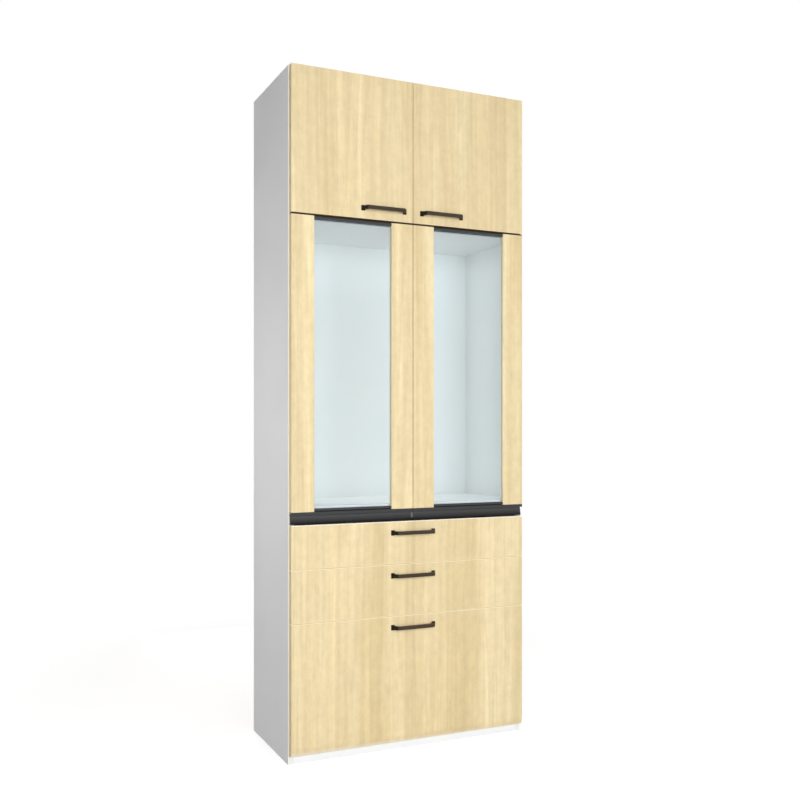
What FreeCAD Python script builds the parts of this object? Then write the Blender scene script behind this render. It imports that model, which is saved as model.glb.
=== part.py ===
# Tall kitchen cupboard made of three stacked cases: three drawers at the bottom, a pair of
# glass doors in the middle and a pair of wooden doors at the top. Millimetres, +Z up, the
# front looks towards -Y, and the origin is the middle of the underside of the whole thing.
import FreeCAD, Part
import os
import Sketcher

SIZES = [
    # The three cases
    ("case_width", 900.0, "outside width of each case"),
    ("case_depth", 410.0, "depth of each case without its fronts"),
    ("glass_case_height", 1000.0, "height of the case with the glass doors"),
    ("upper_case_height", 500.0, "height of the case with the wooden doors"),
    ("side_board", 16.0, "thickness of the upright side boards"),
    ("cross_board", 15.0, "thickness of the level boards and the shelf"),
    ("back_panel", 4.0, "thickness of the back panels"),
    ("back_inset", 18.0, "space between a back panel and the wall"),
    ("cover_panel", 4.0, "thickness of the white cover on each side"),
    ("plinth_height", 28.0, "height of the plinth board"),
    ("plinth_board", 16.0, "thickness of the plinth board"),
    ("plinth_gap", 1.0, "gap between the plinth and the deep drawer's front"),
    ("front_rail_height", 24.0, "height of the rail under the base case's top board"),
    ("front_rail_board", 18.0, "thickness of that rail"),
    ("fixing_rail_height", 100.0, "height of each wall fixing rail"),
    ("wall_hole_diameter", 6.0, "hole for a wall screw"),
    ("wall_hole_span", 600.0, "distance between the two wall screws of a rail"),
    ("wall_hole_drop", 60.0, "wall screw below the top of its case"),
    ("overrun", 1.0, "how far a cutting tool runs past the face it cuts"),
    # Fronts shared by doors and drawers
    ("front_thickness", 20.0, "thickness of every door and drawer front"),
    ("stand_off", 2.0, "gap between the fronts and the cases"),
    ("centre_gap", 2.0, "gap between two doors of a pair"),
    ("level_gap", 3.5, "gap between the wooden doors and the glass doors"),
    ("drawer_gap", 1.0, "gap between two drawer fronts"),
    ("top_front_height", 149.0, "height of the top drawer's front"),
    ("middle_front_height", 180.0, "height of the middle drawer's front"),
    ("deep_front_height", 444.0, "height of the deep drawer's front"),
    ("toe_radius", 60.0, "radius of the curve at the foot of the deep front"),
    ("toe_rise", 30.0, "height of that curve"),
    # Glass doors
    ("stile_width", 82.0, "width of a wooden stile"),
    ("stile_rounding", 3.0, "radius along the front edge of a stile beside the glass"),
    ("glass_door_drop", 2.0, "wood of a glass door below the foot of its case"),
    ("head_cap", 2.5, "thickness of the black cap along the top of a glass door"),
    ("door_rail_height", 10.5, "height of the black rail above and below the glass"),
    ("door_rail_set_back", 2.0, "black rail behind the face of the stiles"),
    ("shadow_groove_height", 3.0, "groove along the outer edge of a black rail's face"),
    ("shadow_groove_depth", 4.0, "depth of that groove"),
    ("glass_set_back", 10.0, "glass behind the face of the stiles"),
    ("glass_thickness", 4.0, "thickness of the glass"),
    ("glass_grip", 7.0, "glass held inside a groove"),
    ("glass_play", 0.3, "room between the glass and its groove"),
    ("pull_height", 10.0, "height of the black finger pull under a glass door"),
    ("pull_web", 2.0, "thickness of the pull's level web"),
    ("pull_flange", 3.0, "thickness of the pull's front flange"),
    # Black recessed rail behind the finger pulls
    ("recess_rail_height", 35.0, "height of the recessed rail"),
    ("recess_rail_drop", 4.0, "recessed rail below the finger pull's web"),
    ("recess_depth_top", 17.0, "rail behind the face of the fronts, at its top"),
    ("recess_depth_bottom", 10.0, "rail behind the face of the fronts, at its foot"),
    ("recess_rail_wall", 1.6, "wall of the recessed rail"),
    ("rail_drawer_gap", 3.0, "gap between the recessed rail and the top drawer"),
    ("catch_width", 8.0, "width of the catch in the middle of the rail"),
    ("catch_height", 17.5, "height of the catch"),
    ("catch_thickness", 2.0, "thickness of the catch"),
    ("catch_drop", 8.5, "catch below the top of the recessed rail"),
    # Bow handles
    ("handle_length", 170.0, "handle across its feet"),
    ("handle_flat", 141.0, "length of the straight front of the handle"),
    ("handle_reach", 28.0, "how far the handle stands out"),
    ("handle_height", 12.5, "height of the flat bar"),
    ("handle_bar", 6.0, "thickness of the flat bar"),
    ("handle_foot", 11.0, "width of a foot on the front"),
    ("handle_outer_bend", 7.0, "outside radius of a bend"),
    ("handle_inner_bend", 3.0, "inside radius of a bend"),
    ("handle_pad_width", 12.5, "width of the pad at each foot"),
    ("handle_pad_height", 18.0, "height of that pad"),
    ("handle_pad_thickness", 4.0, "thickness of that pad"),
    ("handle_side_inset", 26.5, "handle from the free edge of an upper door"),
    ("handle_rise", 36.5, "handle above the bottom of an upper door"),
    ("handle_drop", 39.5, "handle below the top of a drawer front"),
    ("screw_radius", 2.0, "handle screw"),
    ("screw_inset", 7.5, "handle screw in from the end of the handle"),
    ("screw_bite", 7.0, "handle screw inside a foot"),
    ("screw_play", 0.05, "room round the screw inside a foot"),
    ("screw_hole_play", 0.3, "room round the screw inside a front"),
    ("screw_head_radius", 4.0, "head of the handle screw"),
    ("screw_head_height", 1.6, "height of that head"),
    # Hinges
    ("hinge_inset", 100.0, "first and last hinge from the end of a door"),
    ("pivot_inset", 6.0, "hinge pin in from the outer edge of the door"),
    ("pivot_depth", 9.5, "hinge pin in front of the back of the door"),
    ("pin_radius", 1.5, "hinge pin"),
    ("pin_play", 0.05, "room round the pin in its eye"),
    ("pin_grip", 0.5, "hinge pin inside each wall of its cup"),
    ("eye_wall", 1.15, "wall of the eye round the pin"),
    ("arm_bar", 3.0, "thickness of the hinge arm"),
    ("arm_height", 8.0, "height of the hinge arm"),
    ("arm_play", 1.0, "room above and below the arm in the cup"),
    ("arm_side_play", 2.0, "room beside the arm in the cup"),
    ("cup_radius", 17.5, "bore for a hinge cup"),
    ("cup_depth", 13.5, "depth of that bore"),
    ("cup_rim", 3.6, "bore beyond the hinge pin, towards the door's edge"),
    ("cup_play", 0.1, "room between a cup and its bore"),
    ("hinge_plate", 3.0, "thickness of the plate on the side board"),
    ("hinge_plate_length", 42.0, "length of that plate"),
    ("hinge_plate_height", 46.0, "height of that plate"),
    ("hinge_plate_start", 18.0, "plate behind the front of the case"),
    # Drawer boxes and runners
    ("runner_gap", 13.0, "space for a runner beside a drawer box"),
    ("box_board", 12.0, "thickness of a drawer box's sides and back"),
    ("box_bottom", 6.0, "thickness of a drawer box's bottom"),
    ("box_bottom_rise", 10.0, "box bottom above the lower edge of the box"),
    ("box_clearance", 40.0, "space between a drawer box and the case's back panel"),
    ("box_rise", 20.0, "box above the lower edge of a shallow front"),
    ("deep_box_rise", 35.0, "box above the lower edge of the deep front"),
    ("top_box_height", 90.0, "height of the top drawer's box"),
    ("middle_box_height", 120.0, "height of the middle drawer's box"),
    ("deep_box_height", 250.0, "height of the deep drawer's box"),
    ("runner_rise", 35.0, "middle of a runner above the lower edge of the box"),
    ("channel_start", 3.0, "channel behind the front of the case"),
    ("channel_wall", 1.5, "wall of a channel"),
    ("channel_depth", 11.5, "depth of a channel"),
    ("slide_height", 30.0, "height of a sliding bar"),
    ("slide_short", 5.0, "how much shorter a sliding bar is than its channel"),
    ("slide_play", 0.3, "room between a sliding bar and its channel"),
    # Shelf of the upper case
    ("shelf_play", 1.0, "room at each end of the shelf"),
    ("shelf_set_back", 15.0, "shelf behind the front of the case"),
    ("support_inset", 50.0, "shelf support from the front or back of the shelf"),
    ("peg_radius", 2.45, "peg of a shelf support"),
    ("peg_play", 0.05, "room round that peg"),
    ("peg_length", 9.0, "peg inside the side board"),
    ("support_length", 9.0, "how far a support reaches under the shelf"),
    ("support_width", 9.0, "width of a support"),
    ("support_height", 6.0, "height of a support"),
    # Bolts between the cases
    ("bolt_radius", 3.0, "case bolt"),
    ("bolt_play", 0.1, "room round a case bolt"),
    ("bolt_bite", 12.0, "case bolt inside the second board"),
    ("bolt_head_radius", 6.0, "head of a case bolt"),
    ("bolt_head_height", 4.0, "height of that head"),
    ("bolt_inset", 34.0, "case bolt from the side board"),
    ("bolt_end_inset", 40.0, "case bolt from the front and back of its board"),
]

TINY = 1e-4
LEFT = -1
RIGHT = 1
SIDES = {"left": LEFT, "right": RIGHT}
TO_FRONT = FreeCAD.Vector(0, -1, 0)
TO_BACK = FreeCAD.Vector(0, 1, 0)
TO_RIGHT = FreeCAD.Vector(1, 0, 0)
UP = FreeCAD.Vector(0, 0, 1)
DOWN = FreeCAD.Vector(0, 0, -1)

doc = FreeCAD.newDocument("kitchen_cupboard")
kept = []


class Size:
    """A length with its present value and the sheet expression it stands for."""

    def __init__(self, value, words):
        self.value = value
        self.words = words

    def __add__(self, other):
        return Size(self.value + other.value, "(%s + %s)" % (self.words, other.words))

    def __sub__(self, other):
        return Size(self.value - other.value, "(%s - %s)" % (self.words, other.words))

    def __neg__(self):
        return Size(-self.value, "(-1 * %s)" % self.words)

    def __mul__(self, share):
        return Size(self.value * share, "(%s * %s)" % (self.words, share))

    def __truediv__(self, share):
        return Size(self.value / share, "(%s / %s)" % (self.words, share))

    def scaled(self, part, whole):
        """This length times the ratio of two others."""
        value = self.value * part.value / whole.value
        return Size(value, "(%s * %s / %s)" % (self.words, part.words, whole.words))

    def other_leg(self, leg):
        """The second short side of a right triangle whose long side is this length."""
        value = (self.value ** 2 - leg.value ** 2) ** 0.5
        return Size(value, "sqrt(%s ^ 2 - %s ^ 2)" % (self.words, leg.words))


class Sheet:
    """The driving sizes, each by its name."""


def read_sizes():
    """Writes the driving sizes into the spreadsheet and returns them by name."""
    sheet = doc.addObject("Spreadsheet::Sheet", "Sizes")
    named = Sheet()
    for row, (alias, value, meaning) in enumerate(SIZES, start=1):
        sheet.set("A%d" % row, meaning)
        sheet.set("B%d" % row, str(value))
        sheet.setAlias("B%d" % row, alias)
        setattr(named, alias, Size(value, "Sizes." + alias))
    doc.recompute()
    return named


S = read_sizes()
NONE = Size(0.0, "0")

# Places across the width
half_width = S.case_width / 2
inner_half = half_width - S.side_board
door_half_gap = S.centre_gap / 2
box_half = inner_half - S.runner_gap

# Places from front to back
whole_depth = S.case_depth + S.stand_off + S.front_thickness + S.handle_reach
case_back = whole_depth / 2
case_front = case_back - S.case_depth
front_back = case_front - S.stand_off
front_face = front_back - S.front_thickness
panel_back = case_back - S.back_inset
panel_face = panel_back - S.back_panel
pivot_y = front_back - S.pivot_depth
box_back = panel_face - S.box_clearance
runner_length = box_back - front_back

# Places up the height, each resting on the one before: the fronts set the base case's height
deep_front_foot = S.plinth_height + S.plinth_gap
deep_front_top = deep_front_foot + S.deep_front_height
middle_front_foot = deep_front_top + S.drawer_gap
middle_front_top = middle_front_foot + S.middle_front_height
top_front_foot = middle_front_top + S.drawer_gap
top_front_top = top_front_foot + S.top_front_height
recess_foot = top_front_top + S.rail_drawer_gap
recess_top = recess_foot + S.recess_rail_height
glass_door_foot = recess_top + S.recess_rail_drop + S.pull_web
pull_foot = glass_door_foot - S.pull_height
glass_case_foot = glass_door_foot + S.glass_door_drop
upper_case_foot = glass_case_foot + S.glass_case_height
upper_case_top = upper_case_foot + S.upper_case_height
glass_door_top = upper_case_foot - S.head_cap
upper_door_foot = upper_case_foot + S.level_gap
shelf_foot = upper_case_foot + S.upper_case_height / 2 - S.cross_board / 2

WHOLE_WIDTH = (-half_width, half_width)
INNER_WIDTH = (-inner_half, inner_half)
CASE_DEPTH = (case_front, case_back)
BOARD_DEPTH = (case_front, panel_face)
FRONT_DEPTH = (front_face, front_back)

DRAWERS = {
    "top": (top_front_foot, top_front_top, S.box_rise, S.top_box_height),
    "middle": (middle_front_foot, middle_front_top, S.box_rise, S.middle_box_height),
    "deep": (deep_front_foot, deep_front_top, S.deep_box_rise, S.deep_box_height),
}
UPPER_HINGES = [upper_door_foot + S.hinge_inset, upper_case_top - S.hinge_inset]
GLASS_HINGES = [
    glass_door_foot + S.hinge_inset,
    (glass_door_foot + glass_door_top) / 2,
    glass_door_top - S.hinge_inset,
]


def bind(item, name, size):
    item.setExpression(name, size.words)


def place(item, x, y, z):
    bind(item, "Placement.Base.x", x)
    bind(item, "Placement.Base.y", y)
    bind(item, "Placement.Base.z", z)


def keep(node, item):
    """Names a finished sub-part and puts it on the list of those to write."""
    item.Label = node
    kept.append(item)
    return item


def around(middle, width):
    return (middle - width / 2, middle + width / 2)


def sideways(side, near, far):
    """A span across the width on one side of the middle."""
    if side == LEFT:
        return (-far, -near)
    return (near, far)


def across(side, distance):
    return -distance if side == LEFT else distance


def board(name, x_span, y_span, z_span):
    box = doc.addObject("Part::Box", name)
    bind(box, "Length", x_span[1] - x_span[0])
    bind(box, "Width", y_span[1] - y_span[0])
    bind(box, "Height", z_span[1] - z_span[0])
    place(box, x_span[0], y_span[0], z_span[0])
    return box


def rod(name, radius, length, start, direction):
    cylinder = doc.addObject("Part::Cylinder", name)
    bind(cylinder, "Radius", radius)
    bind(cylinder, "Height", length)
    turn = FreeCAD.Rotation(UP, direction)
    cylinder.Placement = FreeCAD.Placement(FreeCAD.Vector(), turn)
    place(cylinder, *start)
    return cylinder


def joined(name, pieces):
    fuse = doc.addObject("Part::MultiFuse", name)
    fuse.Shapes = pieces
    return fuse


def without(name, base, tools):
    cut = doc.addObject("Part::Cut", name)
    cut.Base = base
    cut.Tool = tools[0] if len(tools) == 1 else joined(name + "_tools", tools)
    return cut


def grouped(name, pieces):
    group = doc.addObject("Part::Compound", name)
    group.Links = pieces
    return group


def origin_plane(body, role):
    for feature in body.Origin.OriginFeatures:
        if feature.Role == role:
            return feature
    raise ValueError("no plane " + role)


def new_sketch(body, name, role):
    sketch = body.newObject("Sketcher::SketchObject", name)
    sketch.AttachmentSupport = [(origin_plane(body, role), "")]
    sketch.MapMode = "FlatFace"
    return sketch


def pin_point(sketch, line, end, point):
    """Ties one end of a line to a place given by two sizes."""
    for kind, size in zip(("DistanceX", "DistanceY"), point):
        index = sketch.addConstraint(Sketcher.Constraint(kind, -1, 1, line, end, size.value))
        sketch.setExpression("Constraints[%d]" % index, size.words)


def draw_outline(sketch, points):
    """Draws a closed outline of straight lines through the given places."""
    flat = [FreeCAD.Vector(x.value, y.value, 0) for x, y in points]
    lines = []
    for start, end in zip(flat, flat[1:] + flat[:1]):
        lines.append(sketch.addGeometry(Part.LineSegment(start, end), False))
    for line, following in zip(lines, lines[1:] + lines[:1]):
        sketch.addConstraint(Sketcher.Constraint("Coincident", line, 2, following, 1))
    for line, point in zip(lines, points):
        pin_point(sketch, line, 1, point)


def bar(name, outline, role, length):
    """A PartDesign body: an outline drawn on one plane and drawn out to a length."""
    body = doc.addObject("PartDesign::Body", name)
    sketch = new_sketch(body, name + "_outline", role)
    draw_outline(sketch, outline)
    pad = body.newObject("PartDesign::Pad", name + "_pad")
    pad.Profile = sketch
    bind(pad, "Length", length)
    body.Tip = pad
    return body, pad


def make_cover_panels():
    for word, side in SIDES.items():
        span = sideways(side, half_width, half_width + S.cover_panel)
        node = word + "_cover_panel"
        keep(node, board(node, span, CASE_DEPTH, (NONE, upper_case_top)))


def side_boards(prefix, foot, top):
    boards = []
    for word, side in SIDES.items():
        span = sideways(side, inner_half, half_width)
        boards.append(board("%s_%s_side" % (prefix, word), span, CASE_DEPTH, (foot, top)))
    return boards


def bolt_places():
    """The four corners of a case where bolts join it to the next case."""
    reach = inner_half - S.bolt_inset
    front = case_front + S.bolt_end_inset
    back = panel_face - S.bolt_end_inset
    return [(across(side, reach), y) for side in SIDES.values() for y in (front, back)]


def bolt_holes(name, foot, length):
    """Bores for the case bolts, from a height upwards."""
    radius = S.bolt_radius + S.bolt_play
    holes = []
    for x, y in bolt_places():
        holes.append(rod(name, radius, length, (x, y, foot), UP))
    return holes


def wall_holes(name, case_top):
    """Bores for the two wall screws through a back panel and its rail."""
    start_y = panel_face - S.overrun
    length = S.back_panel + S.back_inset + S.overrun * 2
    level = case_top - S.wall_hole_drop
    holes = []
    for side in SIDES.values():
        start = (across(side, S.wall_hole_span / 2), start_y, level)
        holes.append(rod(name, S.wall_hole_diameter / 2, length, start, TO_BACK))
    return holes


def back_board(name, foot, top):
    return board(name, INNER_WIDTH, (panel_face, panel_back), (foot, top))


def make_base_case():
    top = glass_case_foot
    under_top = top - S.cross_board
    keep("base_side_boards", grouped("base_side_boards", side_boards("base", NONE, top)))
    bottom_span = (S.plinth_height, S.plinth_height + S.cross_board)
    keep("base_bottom_board", board("base_bottom_board", INNER_WIDTH, BOARD_DEPTH, bottom_span))
    plank = board("base_top_plank", INNER_WIDTH, BOARD_DEPTH, (under_top, top))
    holes = bolt_holes("base_top_bore", under_top - S.overrun, S.cross_board + S.overrun * 2)
    keep("base_top_board", without("base_top_board", plank, holes))
    rail_depth = (case_front, case_front + S.front_rail_board)
    rail_span = (under_top - S.front_rail_height, under_top)
    keep("base_front_rail", board("base_front_rail", INNER_WIDTH, rail_depth, rail_span))
    sheet = back_board("base_back_sheet", NONE, top)
    keep("base_back_panel", without("base_back_panel", sheet, wall_holes("base_back_bore", top)))
    plinth_depth = (case_front, case_front + S.plinth_board)
    keep("plinth_board", board("plinth_board", INNER_WIDTH, plinth_depth, (NONE, S.plinth_height)))


def make_glass_case():
    foot = glass_case_foot
    top = upper_case_foot
    boards = side_boards("glass_case", foot, top)
    keep("glass_case_side_boards", grouped("glass_case_side_boards", boards))
    plank = board("glass_bottom_plank", INNER_WIDTH, BOARD_DEPTH, (foot, foot + S.cross_board))
    holes = bolt_holes("glass_bottom_bore", foot - S.overrun, S.bolt_bite + S.overrun * 2)
    keep("glass_case_bottom_board", without("glass_case_bottom_board", plank, holes))
    plank = board("glass_top_plank", INNER_WIDTH, BOARD_DEPTH, (top - S.cross_board, top))
    holes = bolt_holes("glass_top_bore", top - S.bolt_bite - S.overrun, S.bolt_bite + S.overrun * 2)
    keep("glass_case_top_board", without("glass_case_top_board", plank, holes))
    keep("glass_case_back_panel", back_board("glass_case_back_panel", foot, top))


def support_places():
    """Front and back places of the shelf supports."""
    return (case_front + S.shelf_set_back + S.support_inset, panel_face - S.support_inset)


def make_upper_case():
    foot = upper_case_foot
    top = upper_case_top
    boards = []
    for plank, side in zip(side_boards("upper_case", foot, top), SIDES.values()):
        level = shelf_foot - S.support_height / 2
        reach = across(side, inner_half - S.overrun)
        direction = TO_RIGHT * side
        holes = []
        for y in support_places():
            radius = S.peg_radius + S.peg_play
            length = S.peg_length + S.overrun * 2
            holes.append(rod("peg_bore", radius, length, (reach, y, level), direction))
        boards.append(without(plank.Name + "_bored", plank, holes))
    keep("upper_case_side_boards", grouped("upper_case_side_boards", boards))
    plank = board("upper_bottom_plank", INNER_WIDTH, BOARD_DEPTH, (foot, foot + S.cross_board))
    holes = bolt_holes("upper_bottom_bore", foot - S.overrun, S.cross_board + S.overrun * 2)
    keep("upper_case_bottom_board", without("upper_case_bottom_board", plank, holes))
    top_span = (top - S.cross_board, top)
    keep("upper_case_top_board", board("upper_case_top_board", INNER_WIDTH, BOARD_DEPTH, top_span))
    sheet = back_board("upper_back_sheet", foot, top)
    holes = wall_holes("upper_back_bore", top)
    keep("upper_case_back_panel", without("upper_case_back_panel", sheet, holes))


def make_shelf():
    reach = inner_half - S.shelf_play
    depth = (case_front + S.shelf_set_back, panel_face - S.shelf_play)
    span = (shelf_foot, shelf_foot + S.cross_board)
    keep("upper_shelf", board("upper_shelf", (-reach, reach), depth, span))


def make_shelf_supports():
    supports = []
    for side in SIDES.values():
        for y in support_places():
            across_span = sideways(side, inner_half - S.support_length, inner_half)
            height = (shelf_foot - S.support_height, shelf_foot)
            pad = board("support_pad", across_span, around(y, S.support_width), height)
            start = (across(side, inner_half - S.overrun), y, shelf_foot - S.support_height / 2)
            length = S.peg_length + S.overrun
            peg = rod("support_peg", S.peg_radius, length, start, TO_RIGHT * side)
            supports.append(joined("shelf_support", [pad, peg]))
    keep("shelf_supports", grouped("shelf_supports", supports))


def make_wall_fixing_rails():
    rails = []
    for name, top in (("base", glass_case_foot), ("upper", upper_case_top)):
        height = (top - S.fixing_rail_height, top)
        plank = board(name + "_fixing_plank", INNER_WIDTH, (panel_back, case_back), height)
        rails.append(without(name + "_fixing_rail", plank, wall_holes(name + "_rail_bore", top)))
    keep("wall_fixing_rails", grouped("wall_fixing_rails", rails))


def make_case_bolts():
    """Bolts with their heads out of sight: up from the base, down from the upper case."""
    length = S.cross_board + S.bolt_bite
    bolts = []
    for seat, way in ((glass_case_foot - S.cross_board, UP),
                      (upper_case_foot + S.cross_board, DOWN)):
        for x, y in bolt_places():
            shank = rod("bolt_shank", S.bolt_radius, length, (x, y, seat), way)
            head = rod("bolt_head", S.bolt_head_radius, S.bolt_head_height, (x, y, seat), way * -1)
            bolts.append(joined("case_bolt", [shank, head]))
    keep("case_bolts", grouped("case_bolts", bolts))


def make_recess_rail():
    """The black rail that leaves room for fingers under the glass doors."""
    top_face = front_face + S.recess_depth_top
    foot_face = front_face + S.recess_depth_bottom
    wall = S.recess_rail_wall
    outline = [
        (case_front, recess_top),
        (top_face, recess_top),
        (foot_face, recess_foot),
        (case_front, recess_foot),
        (case_front, recess_foot + wall),
        (foot_face + wall, recess_foot + wall),
        (top_face + wall, recess_top - wall),
        (case_front, recess_top - wall),
    ]
    rail, _ = bar("finger_recess_rail", outline, "YZ_Plane", S.case_width)
    place(rail, -half_width, NONE, NONE)
    keep("finger_recess_rail", rail)


def recess_face_at(drop):
    """Place of the recessed rail's sloping face, at a distance below its top."""
    slope = S.recess_depth_bottom - S.recess_depth_top
    return front_face + S.recess_depth_top + slope.scaled(drop, S.recess_rail_height)


def make_door_catch():
    upper = S.catch_drop
    lower = S.catch_drop + S.catch_height
    outline = [
        (recess_face_at(upper), recess_top - upper),
        (recess_face_at(lower), recess_top - lower),
        (recess_face_at(lower) - S.catch_thickness, recess_top - lower),
        (recess_face_at(upper) - S.catch_thickness, recess_top - upper),
    ]
    catch, _ = bar("door_catch", outline, "YZ_Plane", S.catch_width)
    place(catch, -S.catch_width / 2, NONE, NONE)
    keep("door_catch", catch)


def upright_edges(shape, x_place):
    """Names of the upright edges that stand at a distance from the middle, on either side."""
    names = []
    for number, edge in enumerate(shape.Edges, start=1):
        places = [abs(vertex.Point.x) for vertex in edge.Vertexes]
        upright = edge.BoundBox.XLength < TINY and edge.BoundBox.YLength < TINY
        if upright and all(abs(place_across - x_place) < TINY for place_across in places):
            names.append("Edge%d" % number)
    return names


def upright_edges_at(shape, x_place, y_place):
    """Names of the upright edges that stand at one place seen from above."""
    names = []
    for number, edge in enumerate(shape.Edges, start=1):
        points = [vertex.Point for vertex in edge.Vertexes]
        if all(abs(p.x - x_place) < TINY and abs(p.y - y_place) < TINY for p in points):
            names.append("Edge%d" % number)
    return names


def handle_pads(name, x, y, z):
    """The slightly wider pad under each foot of a handle."""
    pads = []
    depth = (y - S.handle_pad_thickness, y)
    height = around(z, S.handle_pad_height)
    half = S.handle_length / 2
    for near, far in ((x - half, x - half + S.handle_pad_width),
                      (x + half - S.handle_pad_width, x + half)):
        pads.append(board(name + "_pad", (near, far), depth, height))
    return pads


def handle_bow(name, x, y, z):
    """A flat bar bent into a bow."""
    half = S.handle_length / 2
    flat = S.handle_flat / 2
    slant = half - flat
    inner_flat = flat - S.handle_foot + slant.scaled(S.handle_bar, S.handle_reach)
    inner_reach = S.handle_reach - S.handle_bar
    outline = [
        (-half, NONE),
        (-flat, -S.handle_reach),
        (flat, -S.handle_reach),
        (half, NONE),
        (half - S.handle_foot, NONE),
        (inner_flat, -inner_reach),
        (-inner_flat, -inner_reach),
        (S.handle_foot - half, NONE),
    ]
    body, pad = bar(name + "_bow", outline, "XY_Plane", S.handle_height)
    place(body, x, y, z - S.handle_height / 2)
    doc.recompute()
    last = pad
    bends = ((flat, S.handle_outer_bend), (inner_flat, S.handle_inner_bend))
    for number, (place_across, radius) in enumerate(bends):
        fillet = body.newObject("PartDesign::Fillet", "%s_bend_%d" % (name, number))
        fillet.Base = (last, upright_edges(last.Shape, place_across.value))
        bind(fillet, "Radius", radius)
        body.Tip = fillet
        doc.recompute()
        last = fillet
    return body


def screw_spans(x):
    reach = S.handle_length / 2 - S.screw_inset
    return [x - reach, x + reach]


def make_handle(node, x, z):
    """A bow handle with the two screws that hold it from inside the front."""
    bow = joined(node + "_solid",
                 [handle_bow(node, x, front_face, z)] + handle_pads(node, x, front_face, z))
    bores = []
    screws = []
    grip = S.front_thickness + S.screw_bite
    for place_across in screw_spans(x):
        start = (place_across, front_face + S.overrun, z)
        length = S.screw_bite + S.overrun * 2
        bore_radius = S.screw_radius + S.screw_play
        bores.append(rod(node + "_bore", bore_radius, length, start, TO_FRONT))
        seat = (place_across, front_back, z)
        shank = rod(node + "_shank", S.screw_radius, grip, seat, TO_FRONT)
        head = rod(node + "_head", S.screw_head_radius, S.screw_head_height, seat, TO_BACK)
        screws.append(joined(node + "_screw", [shank, head]))
    bored = without(node + "_bored", bow, bores)
    keep(node, grouped(node, [bored] + screws))


def handle_holes(name, x, z):
    """Clearance holes for the handle screws through a front."""
    radius = S.screw_radius + S.screw_hole_play
    length = S.front_thickness + S.overrun * 2
    start_y = front_back + S.overrun
    return [rod(name, radius, length, (at, start_y, z), TO_FRONT) for at in screw_spans(x)]


def cup_middle(side):
    return across(side, half_width - S.pivot_inset + S.cup_rim - S.cup_radius)


def cup_bores(name, side, levels):
    bores = []
    length = S.cup_depth + S.overrun
    for level in levels:
        start = (cup_middle(side), front_back + S.overrun, level)
        bores.append(rod(name, S.cup_radius, length, start, TO_FRONT))
    return bores


def arm_far():
    """Inner side of the hinge arm, measured from the middle of the cabinet."""
    return inner_half - S.hinge_plate - S.arm_bar


def hinge_arm(side, level):
    """The fixed half of a hinge: plate on the side board, arm into the cup, eye on the pin."""
    height = around(level, S.arm_height)
    pivot = half_width - S.pivot_inset
    eye_radius = S.pin_radius + S.pin_play + S.eye_wall
    foot = level - S.arm_height / 2
    start = (across(side, pivot), pivot_y, foot)
    eye = rod("hinge_eye", eye_radius, S.arm_height, start, UP)
    floor = board("hinge_floor", sideways(side, arm_far(), pivot), around(pivot_y, S.arm_bar), height)
    plate_start = case_front + S.hinge_plate_start
    plate_depth = (plate_start, plate_start + S.hinge_plate_length)
    arm_depth = (pivot_y - S.arm_bar / 2, plate_depth[1])
    arm = board("hinge_bar", sideways(side, arm_far(), arm_far() + S.arm_bar), arm_depth, height)
    plate_span = sideways(side, inner_half - S.hinge_plate, inner_half)
    plate = board("hinge_plate", plate_span, plate_depth, around(level, S.hinge_plate_height))
    solid = joined("hinge_solid", [eye, floor, arm, plate])
    low = (start[0], start[1], foot - S.overrun)
    hole = rod("hinge_hole", S.pin_radius + S.pin_play, S.arm_height + S.overrun * 2, low, UP)
    return without("hinge_arm", solid, [hole])


def make_hinge_arms():
    arms = []
    for side in SIDES.values():
        for level in UPPER_HINGES + GLASS_HINGES:
            arms.append(hinge_arm(side, level))
    keep("hinge_arms", grouped("hinge_arms", arms))


def hinge_cup(side, level):
    """The moving half of a hinge: a slotted cup in the door with the pin across its slot."""
    length = S.cup_depth - S.cup_play
    start = (cup_middle(side), front_back, level)
    barrel = rod("cup_barrel", S.cup_radius - S.cup_play, length, start, TO_FRONT)
    slot_height = S.arm_height + S.arm_play * 2
    slot_span = sideways(side, arm_far() - S.arm_side_play, half_width + S.overrun)
    slot_depth = (front_face - S.overrun, front_back + S.overrun)
    slot = board("cup_slot", slot_span, slot_depth, around(level, slot_height))
    cup = without("cup_cut", barrel, [slot])
    pin_length = slot_height + S.pin_grip * 2
    low = (across(side, half_width - S.pivot_inset), pivot_y, level - pin_length / 2)
    pin = rod("cup_pin", S.pin_radius, pin_length, low, UP)
    return joined("hinge_cup", [cup, pin])


def make_hinge_cups(node, side, levels):
    keep(node, grouped(node, [hinge_cup(side, level) for level in levels]))


def make_upper_door(word, side):
    prefix = "upper_" + word
    span = sideways(side, door_half_gap, half_width)
    panel = board(prefix + "_panel", span, FRONT_DEPTH, (upper_door_foot, upper_case_top))
    reach = door_half_gap + S.handle_side_inset + S.handle_length / 2
    x = across(side, reach)
    z = upper_door_foot + S.handle_rise
    tools = cup_bores(prefix + "_cup_bore", side, UPPER_HINGES)
    tools += handle_holes(prefix + "_screw_bore", x, z)
    keep(prefix + "_door", without(prefix + "_door", panel, tools))
    make_handle(prefix + "_handle", x, z)
    make_hinge_cups(prefix + "_hinge_cups", side, UPPER_HINGES)


def glass_front():
    return front_face + S.glass_set_back


def groove_depth():
    """Front and back of the groove that holds the glass."""
    return (glass_front() - S.glass_play, glass_front() + S.glass_thickness + S.glass_play)


def groove_height():
    """Foot and top of the groove, a little beyond the glass."""
    inset = S.door_rail_height - S.glass_grip - S.glass_play
    return (glass_door_foot + inset, glass_door_top - inset)


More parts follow.
